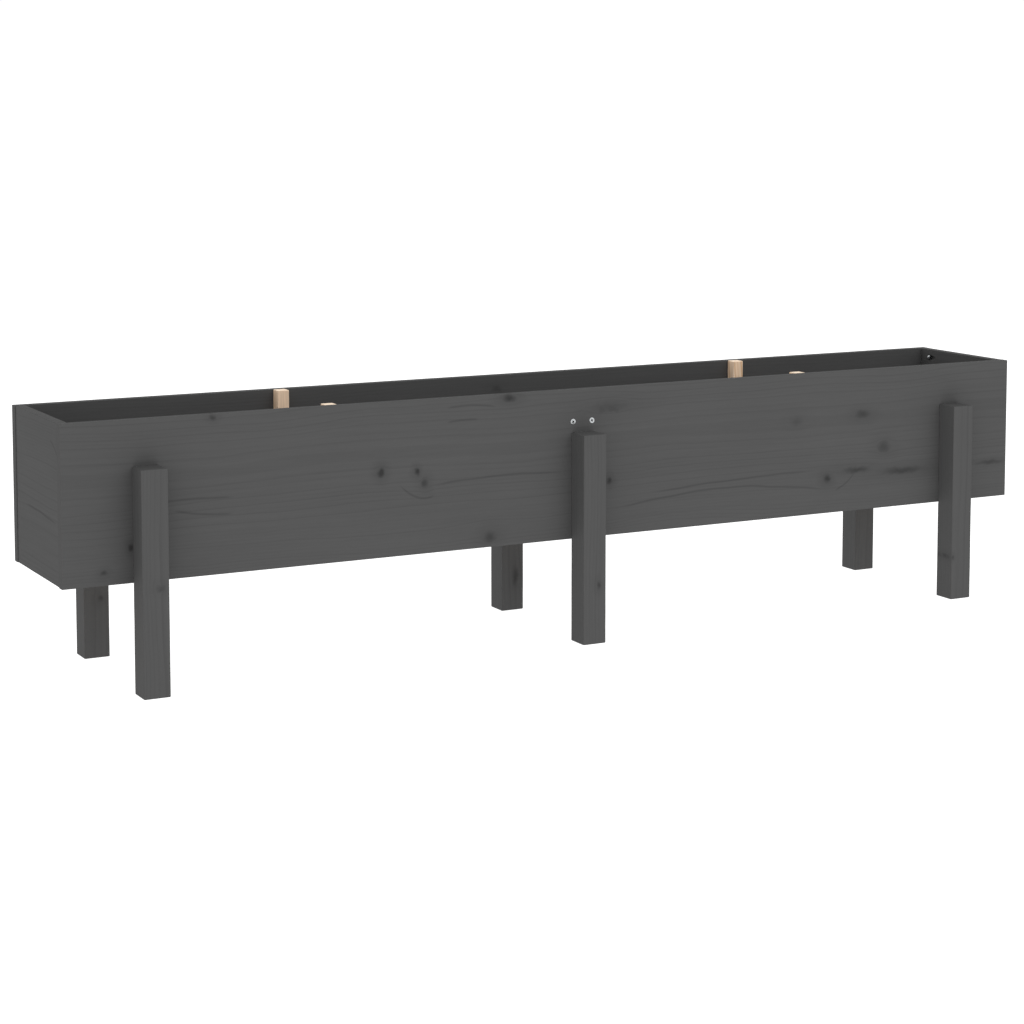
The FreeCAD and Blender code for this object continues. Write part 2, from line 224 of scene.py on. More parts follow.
def screw_seats(node):
    """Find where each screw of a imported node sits: its head's centre, its way out, its length."""
    seats = []
    for island in screw_islands(node):
        middle = sum(island, Vector()) / len(island)
        tip = max(island, key=lambda point: (point - middle).length)
        towards_head = (middle - tip).normalized()
        reach = max((point - tip).dot(towards_head) for point in island)
        face = [point for point in island if (point - tip).dot(towards_head) > reach - 0.2 * MM]
        head = sum(face, Vector()) / len(face)
        seats.append({"head": head, "out": (head - tip).normalized(), "length": (head - tip).length})
    return seats


def lathe(name, profile, steps):
    """Turn a profile of (radius, height) points, which starts and ends on the axis, about Z."""
    geometry = bmesh.new()
    top = geometry.verts.new((0, 0, profile[0][1]))
    bottom = geometry.verts.new((0, 0, profile[-1][1]))
    rings = []
    for radius, height in profile[1:-1]:
        angles = [math.tau * step / steps for step in range(steps)]
        rings.append([
            geometry.verts.new((radius * math.cos(a), radius * math.sin(a), height)) for a in angles])
    for first, second in zip(rings, rings[1:]):
        ring_between(geometry, first, second)
    for pole, ring in ((top, rings[0]), (bottom, rings[-1])):
        for i in range(steps):
            geometry.faces.new((pole, ring[i], ring[(i + 1) % steps]))
    return mesh_of(name, geometry)


def wedge(name, turn):
    """One tapering wing of a cross recess, opening upwards, turned about Z."""
    # Height, half the length and half the width, where the wing opens and where it ends.
    mouth = (ABOVE_HEAD, RECESS_SPAN / 2, 0.65 * MM)
    foot = (-2.0 * MM, 1.2 * MM, 0.45 * MM)
    geometry = bmesh.new()
    for height, half, across in (mouth, foot):
        for x, y in ((-half, -across), (half, -across), (half, across), (-half, across)):
            geometry.verts.new((x, y, height))
    bmesh.ops.convex_hull(geometry, input=geometry.verts)
    bmesh.ops.rotate(geometry, verts=geometry.verts, matrix=Matrix.Rotation(turn, 3, "Z"))
    return new_object(name, mesh_of(name, geometry))


def screw_profile(length, pan):
    """Outline of a wood screw from the middle of its head's face to its tip."""
    tip = 4 * MM
    thread_end = length - 5 * MM
    if pan:
        outline = [(0, 0), (2.6 * MM, 0), (3.5 * MM, -0.25 * MM), (4.05 * MM, -0.8 * MM),
                   (HEAD_RADIUS, -1.5 * MM), (HEAD_RADIUS, -PAN_HEAD_HEIGHT),
                   (SHANK_RADIUS, -PAN_HEAD_HEIGHT)]
    else:
        outline = [(0, 0), (HEAD_RADIUS - 0.25 * MM, 0), (HEAD_RADIUS - 0.05 * MM, -0.12 * MM),
                   (HEAD_RADIUS, -HEAD_RIM), (SHANK_RADIUS, -HEAD_RIM - HEAD_RADIUS + SHANK_RADIUS)]
    depth = 0.4 * length
    while depth < thread_end:
        outline.append((CORE_RADIUS, -depth))
        outline.append((SHANK_RADIUS, -depth - 0.5 * THREAD_PITCH))
        depth += THREAD_PITCH
    outline.append((CORE_RADIUS, -length + tip))
    outline.append((0, -length))
    return outline


def screw_master(length, pan):
    """One cross-recess screw along -Z, its head's face at the origin."""
    item = new_object("screw_master", lathe("screw_master", screw_profile(length, pan), 24))
    for turn in (0, math.pi / 2):
        cut(item, wedge("recess", turn))
    centre = [(0, ABOVE_HEAD), (1.35 * MM, ABOVE_HEAD), (1.2 * MM, -0.6 * MM),
              (0.4 * MM, -RECESS_DEPTH), (0, -RECESS_DEPTH)]
    cut(item, new_object("centre", lathe("centre", centre, 16)))
    # Mark the faces inside the cross recess: the zinc finish paints shade on them.
    recess = item.data.attributes.new("recess", "FLOAT", "FACE")
    for polygon in item.data.polygons:
        middle = polygon.center
        inside = math.hypot(middle.x, middle.y) < RECESS_SPAN / 2
        sunk = -RECESS_DEPTH - 0.1 * MM < middle.z < -0.1 * MM
        recess.data[polygon.index].value = float(inside and sunk)
    item.data.shade_smooth()
    item.data.set_sharp_from_angle(angle=math.radians(35))
    return item


def placing_tree():
    """Geometry Nodes: one screw on each point, along the point's "out", turned at random."""
    tree = bpy.data.node_groups.new("place_screws", "GeometryNodeTree")
    ports = tree.interface
    ports.new_socket("Points", in_out="INPUT", socket_type="NodeSocketGeometry")
    ports.new_socket("Screw", in_out="INPUT", socket_type="NodeSocketObject")
    ports.new_socket("Finish", in_out="INPUT", socket_type="NodeSocketMaterial")
    ports.new_socket("Turn seed", in_out="INPUT", socket_type="NodeSocketInt")
    ports.new_socket("Screws", in_out="OUTPUT", socket_type="NodeSocketGeometry")
    given = add(tree, "NodeGroupInput").outputs
    master = add(tree, "GeometryNodeObjectInfo", {"Object": given["Screw"]})
    out = add(tree, "GeometryNodeInputNamedAttribute", {"Name": "out"}, data_type="FLOAT_VECTOR")
    upright = add(tree, "FunctionNodeAlignRotationToVector", {"Vector": out.outputs[0]}, axis="Z")
    angle = add(tree, "FunctionNodeRandomValue", {2: 0.0, 3: math.tau, "Seed": given["Turn seed"]},
                data_type="FLOAT")
    spin = add(tree, "FunctionNodeAxisAngleToRotation",
               {"Axis": (0, 0, 1), "Angle": angle.outputs[1]})
    turned = add(tree, "FunctionNodeRotateRotation",
                 {"Rotation": upright.outputs[0], "Rotate By": spin.outputs[0]},
                 rotation_space="LOCAL")
    placed = add(tree, "GeometryNodeInstanceOnPoints",
                 {"Points": given["Points"], "Instance": master.outputs["Geometry"],
                  "Rotation": turned.outputs[0]})
    real = add(tree, "GeometryNodeRealizeInstances", {0: placed.outputs[0]})
    finished = add(tree, "GeometryNodeSetMaterial",
                   {"Geometry": real.outputs[0], "Material": given["Finish"]})
    add(tree, "NodeGroupOutput", {0: finished.outputs[0]})
    return tree


def socket_identifier(tree, name):
    """Find the identifier of a node group's input by its name."""
    for port in tree.interface.items_tree:
        if port.name == name and port.in_out == "INPUT":
            return port.identifier
    raise KeyError(name)


def make_screws(node, seats, tree, finish, seed):
    """Make one packed group of screws: the same screw on every seat."""
    points = bpy.data.meshes.new(node)
    points.from_pydata([seat["head"] for seat in seats], [], [])
    out = points.attributes.new("out", "FLOAT_VECTOR", "POINT")
    for value, seat in zip(out.data, seats):
        value.vector = seat["out"]
    item = new_object("zinc_" + node, points)
    master = screw_master(seats[0]["length"], node == "pocket_screws")
    placing = item.modifiers.new("place", "NODES")
    placing.node_group = tree
    settings = {"Screw": master, "Finish": finish, "Turn seed": seed}
    for name, value in settings.items():
        placing[socket_identifier(tree, name)] = value
    apply_modifiers(item)
    bpy.data.objects.remove(master)
    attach(item, "root")
    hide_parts(node)


# ---------------------------------------------------------------- timber shapes

def rounded_outline(half_across, half_through, radii):
    """Corners of a rectangle, each rounded by its own radius in a few steps."""
    outline = []
    corners = ((1, 1), (-1, 1), (-1, -1), (1, -1))
    for quarter, ((side, face), radius) in enumerate(zip(corners, radii)):
        for step in range(ARRIS_STEPS + 1):
            angle = math.pi / 2 * (quarter + step / ARRIS_STEPS)
            outline.append((
                side * (half_across - radius) + radius * math.cos(angle),
                face * (half_through - radius) + radius * math.sin(angle)))
    return outline


def stations(length, arris, rng):
    """Places along a piece where its outline is drawn, with the size of each corner's arris.

    The arris wanders a little, as sanding leaves it, and has a few small dents.
    """
    half = length / 2
    count = max(2, round(length / STATION_PITCH))
    middle = [arris + (length - 2 * arris) * i / count - half for i in range(count + 1)]
    made = [(along, 0.0, [arris * rng.uniform(0.75, 1.15) for corner in range(4)]) for along in middle]
    for dent in range(max(1, round(length / DENT_PITCH))):
        along = rng.uniform(-0.45, 0.45) * length
        corner = rng.randrange(4)
        deepest = rng.uniform(1.6, 2.4)
        for offset, size in ((-DENT_HALF_LENGTH, DENT_SHOULDER), (0, deepest),
                             (DENT_HALF_LENGTH, DENT_SHOULDER)):
            radii = [arris * DENT_SHOULDER] * 4
            radii[corner] = arris * size
            made.append((along + offset, 0.0, radii))
    for step in range(ARRIS_STEPS):
        angle = math.pi / 2 * step / ARRIS_STEPS
        inset = arris * (1 - math.sin(angle))
        along = half - arris * (1 - math.cos(angle))
        made.append((-along, inset, [arris] * 4))
        made.append((along, inset, [arris] * 4))
    return sorted(made, key=lambda station: station[0])


def timber_mesh(name, node, order, arris, rng):
    """A planed piece that fills the node's box, drawn along its grain."""
    low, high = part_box(node)
    centre = (low + high) / 2
    axes = ["XYZ".index(letter) for letter in order]
    length, across, through = [(high - low)[axis] for axis in axes]
    geometry = bmesh.new()
    rings = []
    for along, inset, radii in stations(length, arris, rng):
        ring = []
        for u, v in rounded_outline(across / 2 - inset, through / 2 - inset, radii):
            place = centre.copy()
            for axis, offset in zip(axes, (along, u, v)):
                place[axis] += offset
            ring.append(geometry.verts.new(place))
        rings.append(ring)
    for first, second in zip(rings, rings[1:]):
        ring_between(geometry, first, second)
    geometry.faces.new(rings[0])
    geometry.faces.new(rings[-1])
    return mesh_of(name, geometry)


def hole_cutter(seat, pan):
    """The countersink of one screw, or the slanting pocket of a pan-head screw."""
    if pan:
        profile = [(0, POCKET_LENGTH), (POCKET_RADIUS, POCKET_LENGTH),
                   (POCKET_RADIUS, -PAN_HEAD_HEIGHT), (0, -PAN_HEAD_HEIGHT)]
    else:
        head = HEAD_RADIUS + HEAD_CLEARANCE
        shank = SHANK_RADIUS + HEAD_CLEARANCE
        depth = HEAD_RIM + head - shank
        profile = [(0, ABOVE_FACE), (head, ABOVE_FACE), (head, -HEAD_RIM), (shank, -depth),
                   (shank, -depth - BELOW_COUNTERSINK), (0, -depth - BELOW_COUNTERSINK)]
    mesh = lathe("hole", profile, 32)
    turn = seat["out"].to_track_quat("Z", "Y").to_matrix().to_4x4()
    mesh.transform(Matrix.Translation(seat["head"]) @ turn)
    return new_object("hole", mesh)


def head_is_in(seat, low, high):
    """Tell whether a screw's head lies on or in a piece, and faces out of it."""
    inside = seat["head"] - seat["out"] * MM
    margin = 0.1 * MM
    return all(low[i] - margin < inside[i] < high[i] + margin for i in range(3))


def mark_faces(mesh, low, high, arris):
    """Store on each face whether it is an eased edge, or lies inside a hole."""
    eased = mesh.attributes.new("arris", "FLOAT", "FACE")
    hole = mesh.attributes.new("hole", "FLOAT", "FACE")
    band = arris * 1.05
    for polygon in mesh.polygons:
        near = sum(polygon.center[i] < low[i] + band for i in range(3))
        near += sum(polygon.center[i] > high[i] - band for i in range(3))
        eased.data[polygon.index].value = float(near > 1 and max(map(abs, polygon.normal)) < 0.999)
        hole.data[polygon.index].value = float(near == 0)


def make_timber(node, order, arris, seats, finish, rng):
    """Make one timber piece: its shape, its screw holes and its finish."""
    low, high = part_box(node)
    item = new_object("pine_" + node, timber_mesh("pine_" + node, node, order, arris, rng))
    for name, group in seats.items():
        for seat in group:
            if head_is_in(seat, low, high):
                cut(item, hole_cutter(seat, name == "pocket_screws"))
    mark_faces(item.data, low, high, arris)
    item.data.materials.append(finish)
    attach(item, "root")
    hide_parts(node)


# ---------------------------------------------------------------- materials

STAINED = {
    # Planed pine under a matt dark grey stain: the grain and the knots only just show through.
    "slot": "stained_timber", "early": "#4e4e4e", "late": "#4a4a4a", "knot": "#333333",
    "end": "#4a4a4a", "worn": "#4d4d4d", "hole": "#484848", "streaks": 0.025, "blotches": 0.025,
    "roughness": 0.85, "specular": 0.03, "bump": 0.15,
}
NATURAL = {
    # Planed pine left bare: pale earlywood, honey-coloured latewood and brown knots.
    "slot": "natural_timber", "early": "#f0d3b6", "late": "#d6aa7c", "knot": "#8a5a34",
    "end": "#e9d8c2", "worn": "#f0dfc8", "hole": "#cfae85", "streaks": 0.08, "blotches": 0.05,
    "roughness": 0.62, "specular": 0.4, "bump": 0.45,
}

# What makes up the grain: how long each feature is along the grain and how wide across it, in mm.
TRUNK_BEND = (600, 200)
RING_RIPPLE = (110, 33)
DARK_RING_DRIFT = (70, 25)
STREAK = (140, 4)
FIBRE = (25, 0.7)
BLOTCH = (230, 75)
# Growth rings: the width of a year, and how far the first three features above push a ring aside.
RING_WIDTH = 4.6 * MM
TRUNK_BEND_REACH = 50 * MM
RING_RIPPLE_REACH = 6 * MM
DARK_RING_DRIFT_REACH = 5 * MM
# How dark the wood is through one year, from its first growth to its last: position, value.
YEAR = ((0.0, 0.15), (0.08, 0.0), (0.55, 0.12), (0.86, 1.0), (0.97, 0.85), (1.0, 0.15))
# A knot, in its own radii: its hard core, its fainter halo, and how far the grain bends around it.
KNOT_CORE = 1.5
KNOT_HALO = 4.0
KNOT_BEND = 7.0
HALO_STRENGTH = 0.28
# What makes a knot's outline ragged, coarse and fine: the size of the noise and its reach.
RAGGEDNESS = ((14 * MM, 7 * MM), (4 * MM, 1.6 * MM))
# A dark growth ring is a soft line: its half width, and how much it darkens the wood.
DARK_RING_HALF_WIDTH = 2.8 * MM
DARK_RING_STRENGTH = 0.36
# How strongly the colours of end grain and of worn edges show, and how much the gloss varies.
END_GRAIN_SHARE = 0.6
WORN_SHARE = (0.1, 0.7)
GLOSS_VARIATION = 0.06
# Relief of the surface: its depth, and the shares of fibres and latewood beside the streaks.
RELIEF_DEPTH = 0.15 * MM
FIBRE_RELIEF = 0.5
LATEWOOD_RELIEF = 0.4

# Zinc: the size of its clouds, the range of its roughness, and how much rougher a recess is.
ZINC_CLOUD = 1.2 * MM
ZINC_ROUGHNESS = (0.26, 0.42)
RECESS_ROUGHNESS = 0.3


def new_material(name):
    """Make a material with an empty node tree, and give both."""
    material = bpy.data.materials.new(name)
    material.use_nodes = True
    material.node_tree.nodes.clear()
    return material, material.node_tree


def smooth(tree, value, none, full):
    """Give 0 where the value is at `none`, 1 where it is at `full`, and a soft step between."""
    low, high = min(none, full), max(none, full)
    rising = float(full > none)
    node = add(tree, "ShaderNodeMapRange",
               {"Value": value, "From Min": low, "From Max": high,
                "To Min": 1.0 - rising, "To Max": rising},
               interpolation_type="SMOOTHSTEP")
    return node.outputs[0]


def spread(tree, value, low, high):
    """Stretch the middle of a noise to run from one value to another."""
    node = add(tree, "ShaderNodeMapRange", {"Value": value, "From Min": 0.3, "From Max": 0.7,
                                            "To Min": low, "To Max": high})
    return node.outputs[0]


def mixed(tree, factor, first, second):
    """Mix two colours."""
    node = add(tree, "ShaderNodeMix", {0: factor, 6: first, 7: second}, data_type="RGBA")
    return node.outputs[2]


def shape_ramp(node, stops):
    """Set a colour ramp to grey values at the given positions."""
    elements = node.color_ramp.elements
    while len(elements) < len(stops):
        elements.new(0.5)
    for element, (position, value) in zip(elements, stops):
        element.position = position
        element.color = (value, value, value, 1.0)


def knot_group():
    """Node group: how one knot pushes the grain aside, and how dark it makes the wood."""
    tree = bpy.data.node_groups.new("knot", "ShaderNodeTree")
    ports = tree.interface
    for name in ("Place", "Centre", "Size"):
        ports.new_socket(name, in_out="INPUT", socket_type="NodeSocketVector")
    for name in ("Push", "Dark", "Darkness"):
        ports.new_socket(name, in_out="INPUT", socket_type="NodeSocketFloat")
    for name in ("Push", "Dark"):
        ports.new_socket(name, in_out="OUTPUT", socket_type="NodeSocketFloat")
    given = add(tree, "NodeGroupInput").outputs
    offset = add(tree, "ShaderNodeVectorMath", {0: given["Place"], 1: given["Centre"]},
                 operation="SUBTRACT").outputs[0]
    scaled = add(tree, "ShaderNodeVectorMath", {0: offset, 1: given["Size"]},
                 operation="MULTIPLY").outputs[0]
    distance = add(tree, "ShaderNodeVectorMath", {0: scaled}, operation="LENGTH").outputs["Value"]
    clear = add(tree, "ShaderNodeMath", {0: distance, 1: 1.0}, operation="MAXIMUM").outputs[0]
    square = add(tree, "ShaderNodeMath", {0: clear, 1: 2.0}, operation="POWER").outputs[0]
    fade = smooth(tree, distance, KNOT_BEND, 1.0)
    across = add(tree, "ShaderNodeSeparateXYZ", {0: offset}).outputs["Y"]
    aside = add(tree, "ShaderNodeMath", {0: across, 1: square}, operation="DIVIDE").outputs[0]
    push = add(tree, "ShaderNodeMath", {0: aside, 1: fade, 2: given["Push"]},
               operation="MULTIPLY_ADD").outputs[0]
    core = smooth(tree, distance, KNOT_CORE, 0.1)
    halo = smooth(tree, distance, KNOT_HALO, 0.8)
    both = add(tree, "ShaderNodeMath", {0: halo, 1: HALO_STRENGTH, 2: core},
               operation="MULTIPLY_ADD").outputs[0]
    dark = add(tree, "ShaderNodeMath", {0: both, 1: given["Darkness"]}, operation="MULTIPLY").outputs[0]
    darkest = add(tree, "ShaderNodeMath", {0: dark, 1: given["Dark"]}, operation="MAXIMUM").outputs[0]
    add(tree, "NodeGroupOutput", {"Push": push, "Dark": darkest})
    return tree


def ring_group():
    """Node group: one dark growth ring, drawn as a bowed line that fades at its ends."""
    tree = bpy.data.node_groups.new("dark_ring", "ShaderNodeTree")
    ports = tree.interface
    for name in ("Along", "Across", "Dark", "Start", "End", "From", "To", "Bow"):
        ports.new_socket(name, in_out="INPUT", socket_type="NodeSocketFloat")
    ports.new_socket("Dark", in_out="OUTPUT", socket_type="NodeSocketFloat")
    given = add(tree, "NodeGroupInput").outputs
    part = add(tree, "ShaderNodeMapRange", {"Value": given["Along"], "From Min": given["Start"],
                                            "From Max": given["End"]}).outputs[0]
    rest = add(tree, "ShaderNodeMath", {0: 1.0, 1: part}, operation="SUBTRACT").outputs[0]
    hump = add(tree, "ShaderNodeMath", {0: part, 1: rest}, operation="MULTIPLY").outputs[0]
    hump = add(tree, "ShaderNodeMath", {0: hump, 1: 4.0}, operation="MULTIPLY").outputs[0]
    level = add(tree, "ShaderNodeMapRange", {"Value": part, "To Min": given["From"],
                                             "To Max": given["To"]}).outputs[0]
    level = add(tree, "ShaderNodeMath", {0: hump, 1: given["Bow"], 2: level},
                operation="MULTIPLY_ADD").outputs[0]
    gap = add(tree, "ShaderNodeMath", {0: given["Across"], 1: level}, operation="SUBTRACT").outputs[0]
    gap = add(tree, "ShaderNodeMath", {0: gap}, operation="ABSOLUTE").outputs[0]
    line = smooth(tree, gap, DARK_RING_HALF_WIDTH, 0.0)
    ends = smooth(tree, hump, 0.0, 0.6)
    line = add(tree, "ShaderNodeMath", {0: line, 1: ends}, operation="MULTIPLY").outputs[0]
    line = add(tree, "ShaderNodeMath", {0: line, 1: DARK_RING_STRENGTH}, operation="MULTIPLY").outputs[0]
    darkest = add(tree, "ShaderNodeMath", {0: line, 1: given["Dark"]}, operation="MAXIMUM").outputs[0]
    add(tree, "NodeGroupOutput", {"Dark": darkest})
    return tree


def grain_noise(tree, board, size, shift, detail):
    """Noise whose features have the given length along the grain and width across it, in mm."""
    length, width = size
    scale = (1 / (length * MM), 1 / (width * MM), 1 / (width * MM))
    place = add(tree, "ShaderNodeVectorMath", {0: board, 1: scale, 2: shift},
                operation="MULTIPLY_ADD").outputs[0]
    return add(tree, "ShaderNodeTexNoise",
               {"Vector": place, "Scale": 1.0, "Detail": detail}).outputs["Fac"]


def board_place(tree, node, order):
    """Coordinates from the piece's middle: along the grain, across the board, through it."""
    low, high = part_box(node)
    place = add(tree, "ShaderNodeTexCoord").outputs["Object"]
    place = add(tree, "ShaderNodeVectorMath", {0: place, 1: (low + high) / 2},
                operation="SUBTRACT").outputs[0]
    axes = add(tree, "ShaderNodeSeparateXYZ", {0: place}).outputs
    return add(tree, "ShaderNodeCombineXYZ", {i: axes[order[i]] for i in range(3)}).outputs[0]


def face_marks(tree, board, knots, rings, groups):
    """Chain every knot and dark ring: gives how far the grain is pushed, and how dark it is."""
    along, across, _ = add(tree, "ShaderNodeSeparateXYZ", {0: board}).outputs
    flat = add(tree, "ShaderNodeCombineXYZ", {0: along, 1: across}).outputs[0]
    for size, reach in RAGGEDNESS:
        ragged = add(tree, "ShaderNodeTexNoise",
                     {"Vector": board, "Scale": 1 / size, "Detail": 1.0}).outputs["Color"]
        ragged = add(tree, "ShaderNodeVectorMath", {0: ragged, 1: (0.5, 0.5, 0.5)},
                     operation="SUBTRACT").outputs[0]
        flat = add(tree, "ShaderNodeVectorMath", {0: ragged, 1: (reach, reach, 0.0), 2: flat},
                   operation="MULTIPLY_ADD").outputs[0]
    push, dark = 0.0, 0.0
    # Each knot's group takes the totals of the knots before it, and each ring's group goes on.
    for knot_along, knot_across, radius, stretch, darkness in knots:
        size = (1 / (radius * stretch * MM), 1 / (radius * MM), 0)
        mark = add(tree, "ShaderNodeGroup",
                   {"Place": flat, "Centre": (knot_along * MM, knot_across * MM, 0), "Size": size,
                    "Push": push, "Dark": dark, "Darkness": darkness}, node_tree=groups["knot"])
        push, dark = mark.outputs["Push"], mark.outputs["Dark"]
    drift = grain_noise(tree, board, DARK_RING_DRIFT, Vector(), 1.0)
    across = add(tree, "ShaderNodeMath", {0: drift, 1: DARK_RING_DRIFT_REACH, 2: across},
                 operation="MULTIPLY_ADD").outputs[0]
    across = add(tree, "ShaderNodeMath", {0: across, 1: DARK_RING_DRIFT_REACH / 2},
                 operation="SUBTRACT").outputs[0]
    for start_along, start_across, end_along, end_across, bow in rings:
        mark = add(tree, "ShaderNodeGroup",
                   {"Along": along, "Across": across, "Dark": dark, "Start": start_along * MM,
                    "End": end_along * MM, "From": start_across * MM, "To": end_across * MM,
                    "Bow": bow * MM}, node_tree=groups["ring"])
        dark = mark.outputs["Dark"]
    return push, dark


def growth_rings(tree, board, push, shift, pith):
    """Latewood, from 0 to 1: rings about a pith that wanders, each year a little different."""
    _, across, through = add(tree, "ShaderNodeSeparateXYZ", {0: board}).outputs
    moved = add(tree, "ShaderNodeMath", {0: across, 1: push}, operation="SUBTRACT").outputs[0]
    for size, reach in ((TRUNK_BEND, TRUNK_BEND_REACH), (RING_RIPPLE, RING_RIPPLE_REACH)):
        wander = grain_noise(tree, board, size, shift, 2.0)
        moved = add(tree, "ShaderNodeMath", {0: wander, 1: reach, 2: moved},
                    operation="MULTIPLY_ADD").outputs[0]
    section = add(tree, "ShaderNodeCombineXYZ", {1: moved, 2: through}).outputs[0]
    radius = add(tree, "ShaderNodeVectorMath", {0: section, 1: pith},
                 operation="DISTANCE").outputs["Value"]
    year = add(tree, "ShaderNodeMath", {0: radius, 1: RING_WIDTH}, operation="DIVIDE").outputs[0]
    growth = add(tree, "ShaderNodeMath", {0: year}, operation="FRACT").outputs[0]
    late = add(tree, "ShaderNodeValToRGB", {0: growth})
    shape_ramp(late, YEAR)
    number = add(tree, "ShaderNodeMath", {0: year}, operation="FLOOR").outputs[0]
    strength = add(tree, "ShaderNodeTexWhiteNoise", {"W": number},
                   noise_dimensions="1D").outputs["Value"]
    return add(tree, "ShaderNodeMath", {0: late.outputs[0], 1: strength},
               operation="MULTIPLY").outputs[0]


def end_grain(tree, order):
    """1 where the face is cut across the grain."""
    normal = add(tree, "ShaderNodeTexCoord").outputs["Normal"]
    grain = [float(letter == order[0]) for letter in "XYZ"]
    facing = add(tree, "ShaderNodeVectorMath", {0: normal, 1: grain},
                 operation="DOT_PRODUCT").outputs["Value"]
    facing = add(tree, "ShaderNodeMath", {0: facing}, operation="ABSOLUTE").outputs[0]
    return smooth(tree, facing, 0.75, 0.95)


def pine_colour(tree, order, look, late, dark, noises):
    """Colour of the wood: growth rings, streaks, knots, end grain, worn edges and holes."""
    streak, fibre, blotch = noises
    colour = mixed(tree, late, linear(look["early"]), linear(look["late"]))
    tone = 1.0
    for noise, depth in ((streak, look["streaks"]), (fibre, look["streaks"]), (blotch, look["blotches"])):
        shade = spread(tree, noise, 1 - depth, 1 + depth)
        tone = add(tree, "ShaderNodeMath", {0: tone, 1: shade}, operation="MULTIPLY").outputs[0]
    colour = add(tree, "ShaderNodeVectorMath", {0: colour, "Scale": tone}, operation="SCALE").outputs[0]
    colour = mixed(tree, dark, colour, linear(look["knot"]))
    ends = add(tree, "ShaderNodeMath", {0: end_grain(tree, order), 1: END_GRAIN_SHARE},
               operation="MULTIPLY").outputs[0]
    colour = mixed(tree, ends, colour, linear(look["end"]))
    eased = add(tree, "ShaderNodeAttribute", attribute_name="arris").outputs["Fac"]
    worn = add(tree, "ShaderNodeMath", {0: spread(tree, streak, *WORN_SHARE), 1: eased},
               operation="MULTIPLY").outputs[0]
    colour = mixed(tree, worn, colour, linear(look["worn"]))
    hole = add(tree, "ShaderNodeAttribute", attribute_name="hole").outputs["Fac"]
    return mixed(tree, hole, colour, linear(look["hole"]))


def pine_relief(tree, look, late, streak, fibre):
    """Shallow relief: fibres and streaks, with the latewood standing a little proud."""
    height = add(tree, "ShaderNodeMath", {0: fibre, 1: FIBRE_RELIEF, 2: streak},
                 operation="MULTIPLY_ADD").outputs[0]
    height = add(tree, "ShaderNodeMath", {0: late, 1: LATEWOOD_RELIEF, 2: height},
                 operation="MULTIPLY_ADD").outputs[0]
    return add(tree, "ShaderNodeBump", {"Height": height, "Distance": RELIEF_DEPTH,
                                        "Strength": look["bump"]}).outputs[0]


def pine(node, order, look, knots, groups, rng):
    """Pine with its grain along one axis: growth rings, fibres and knots at their real size."""
    material, tree = new_material(f"{look['slot']}_{node}")
    board = board_place(tree, node, order)
    shift = Vector((rng.uniform(-9, 9), rng.uniform(-9, 9), rng.uniform(-9, 9)))
    pith = Vector((0, rng.uniform(-0.04, 0.09), rng.choice((-1, 1)) * rng.uniform(0.035, 0.06)))
    push, dark = face_marks(tree, board, knots, RINGS.get(node, ()), groups)
    late = growth_rings(tree, board, push, shift, pith)
    streak = grain_noise(tree, board, STREAK, shift, 3.0)
    fibre = grain_noise(tree, board, FIBRE, shift, 2.0)
    blotch = grain_noise(tree, board, BLOTCH, shift, 3.0)
    gloss = spread(tree, fibre, look["roughness"] - GLOSS_VARIATION, look["roughness"] + GLOSS_VARIATION)
    shader = add(tree, "ShaderNodeBsdfPrincipled",
                 {"Base Color": pine_colour(tree, order, look, late, dark, (streak, fibre, blotch)),
                  "Roughness": gloss, "Normal": pine_relief(tree, look, late, streak, fibre),
                  "Specular IOR Level": look["specular"]})
    add(tree, "ShaderNodeOutputMaterial", {"Surface": shader.outputs[0]})
    return material


def zinc_plating():
    """Bright zinc-plated steel: a satin metal, faintly cloudy; rougher in the cross recess, where shade
    is painted into its colour.
    """
    material, tree = new_material("zinc_plated_steel")
    place = add(tree, "ShaderNodeTexCoord").outputs["Object"]
    cloud = add(tree, "ShaderNodeTexNoise",
                {"Vector": place, "Scale": 1 / ZINC_CLOUD, "Detail": 3.0}).outputs["Fac"]
    colour = mixed(tree, cloud, linear("#a6abb1"), linear("#cbccca"))
    recess = add(tree, "ShaderNodeAttribute", attribute_name="recess").outputs["Fac"]
    # Painted shade: the faces of the cross recess are mixed to a dark grey that stands in for the shadow
    # inside it.
    colour = mixed(tree, recess, colour, linear("#3d3d3e"))
    gloss = spread(tree, cloud, *ZINC_ROUGHNESS)
    gloss = add(tree, "ShaderNodeMath", {0: recess, 1: RECESS_ROUGHNESS, 2: gloss},
                operation="MULTIPLY_ADD").outputs[0]
    shader = add(tree, "ShaderNodeBsdfPrincipled",
                 {"Base Color": colour, "Metallic": 1.0, "Roughness": gloss})
    add(tree, "ShaderNodeOutputMaterial", {"Surface": shader.outputs[0]})
    return material


# ---------------------------------------------------------------- assembly

def random_knots(rng, node, order, count):
    """Scatter knots over a piece, in the same form as KNOTS."""
    low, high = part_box(node)
    size = [(high - low)["XYZ".index(letter)] / MM for letter in order]
    knots = []
    for number in range(count):
        along = size[0] * ((number + rng.uniform(0.15, 0.85)) / count - 0.5)
        across = rng.uniform(-0.46, 0.46) * size[1]
        radius = min(rng.uniform(3.0, 7.0), 0.15 * size[1] + 2)
        knots.append((along, across, radius, rng.uniform(0.8, 1.8), rng.uniform(0.3, 0.75)))
    return knots


